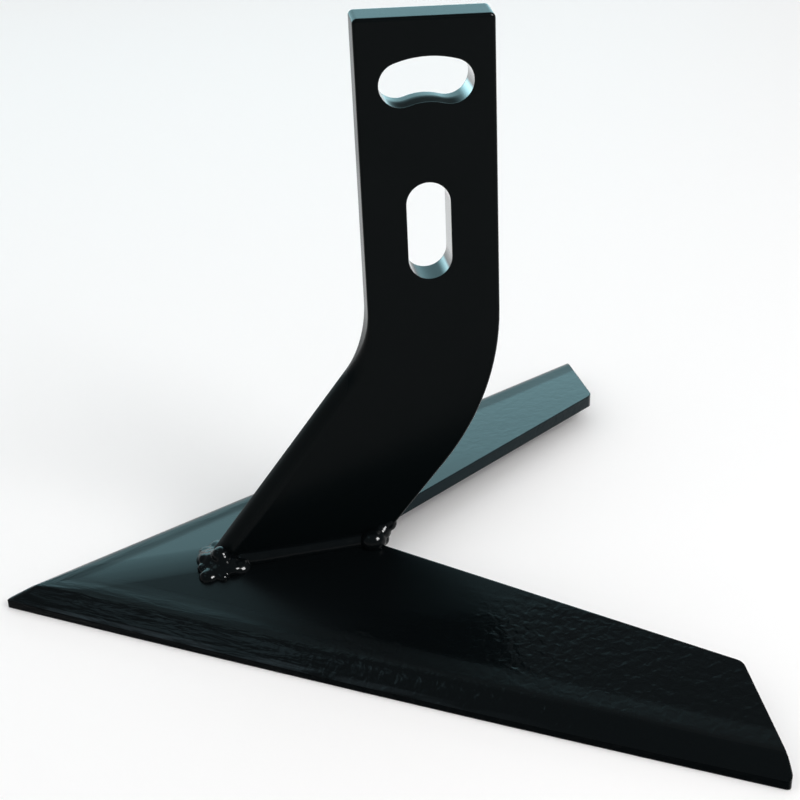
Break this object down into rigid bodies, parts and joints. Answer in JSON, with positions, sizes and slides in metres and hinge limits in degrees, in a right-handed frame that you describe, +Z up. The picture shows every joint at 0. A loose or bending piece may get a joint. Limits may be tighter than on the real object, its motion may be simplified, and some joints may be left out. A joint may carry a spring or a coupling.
{
  "type": "duckfoot sweep",
  "caption": "V-shaped cultivator sweep blade welded under an upright flat bar shank that is bent forward and has a curved slot above a straight slot.",
  "frame": {"origin": "on the ground plane of the cutting edges, under the middle of the overall width and length", "axes": "+X to the right wing as seen from behind, +Y to the rear (the point looks to -Y), +Z up the shank"},
  "size_m": [0.2506, 0.2118, 0.1814],
  "materials": {
    "blade_paint": "semi-gloss black paint over rough forged steel",
    "shank_paint": "semi-gloss black paint on flat bar",
    "weld_paint": "gloss black paint over lumpy weld metal"
  },
  "bodies": {
    "root": {"sweep_blade": "blade_paint", "shank": "shank_paint", "front_weld": "weld_paint", "rear_weld": "weld_paint", "left_weld": "weld_paint", "right_weld": "weld_paint"}
  },
  "joints": []
}
